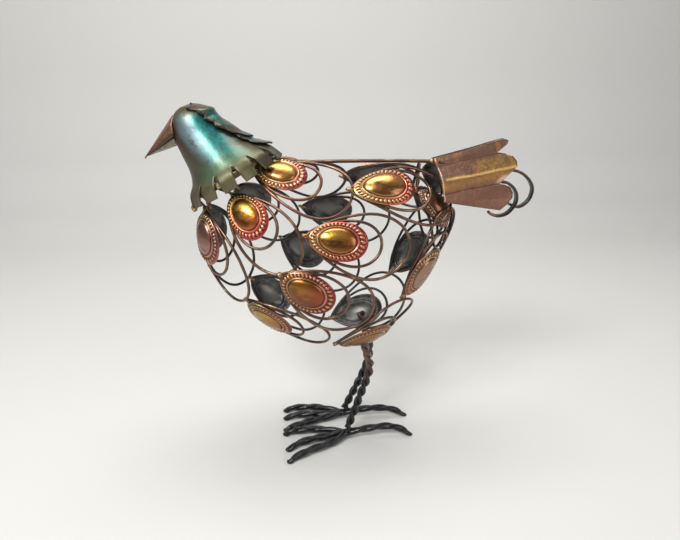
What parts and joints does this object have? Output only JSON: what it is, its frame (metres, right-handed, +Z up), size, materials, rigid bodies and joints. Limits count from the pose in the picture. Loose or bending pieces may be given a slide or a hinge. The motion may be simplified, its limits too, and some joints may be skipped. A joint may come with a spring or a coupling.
{
  "type": "hen figurine",
  "caption": "Hollow wirework hen ornament with sheet-metal hood, crest and tail, oval feather plates and twisted wire legs, standing on flat splayed toes.",
  "frame": {"origin": "under the middle of the hen's bounding box, on the surface that the toes stand on", "axes": "+Z up, the head points to -X and the tail to +X, the hen's left side is -Y"},
  "size_m": [0.2912, 0.1098, 0.2743],
  "materials": {
    "wire": "smoky bronze lacquer over iron wire, glossy",
    "plate": "gold to crimson heat tint under clear lacquer, glossy",
    "ring": "dull gold lacquer",
    "hood": "turquoise and bronze lacquer, glossy",
    "crest": "olive and turquoise lacquer, glossy",
    "beak_top": "copper brown lacquer",
    "beak_under": "grey olive lacquer",
    "tail": "mauve and copper lacquer, glossy",
    "curl": "copper lacquer",
    "leg": "brown to black lacquer, glossy",
    "foot": "black lacquer, glossy"
  },
  "bodies": {
    "root": {"wires_back_front_left": "wire", "plate_back_front_left": "plate", "wires_back_front_right": "wire", "plate_back_front_right": "plate", "wires_shoulder_left": "wire", "plate_shoulder_left": "plate", "wires_shoulder_right": "wire", "plate_shoulder_right": "plate", "wires_breast_front_left": "wire", "plate_breast_front_left": "plate", "wires_breast_front_right": "wire", "plate_breast_front_right": "plate", "wires_flank_left": "wire", "plate_flank_left": "plate", "wires_flank_right": "wire", "plate_flank_right": "plate", "wires_back_rear_left": "wire", "plate_back_rear_left": "plate", "wires_back_rear_right": "wire", "plate_back_rear_right": "plate", "wires_belly_front_left": "wire", "plate_belly_front_left": "plate", "wires_belly_front_right": "wire", "plate_belly_front_right": "plate", "wires_breast_low_left": "wire", "plate_breast_low_left": "plate", "wires_breast_low_right": "wire", "plate_breast_low_right": "plate", "wires_thigh_left": "wire", "plate_thigh_left": "plate", "wires_thigh_right": "wire", "plate_thigh_right": "plate", "wires_rump_low_left": "wire", "plate_rump_low_left": "plate", "wires_rump_low_right": "wire", "plate_rump_low_right": "plate", "wires_rump_high_left": "wire", "plate_rump_high_left": "plate", "wires_rump_high_right": "wire", "plate_rump_high_right": "plate", "ridge_wires": "wire", "neck_ring": "ring", "head_hood": "hood", "head_crest": "crest", "beak_upper": "beak_top", "beak_lower": "beak_under", "tail_sheet_left": "tail", "tail_sheet_right": "tail", "tail_curl_high": "curl", "tail_curl_low": "curl", "leg_left": "leg", "leg_right": "leg", "foot_left": "foot", "foot_right": "foot"}
  },
  "joints": []
}
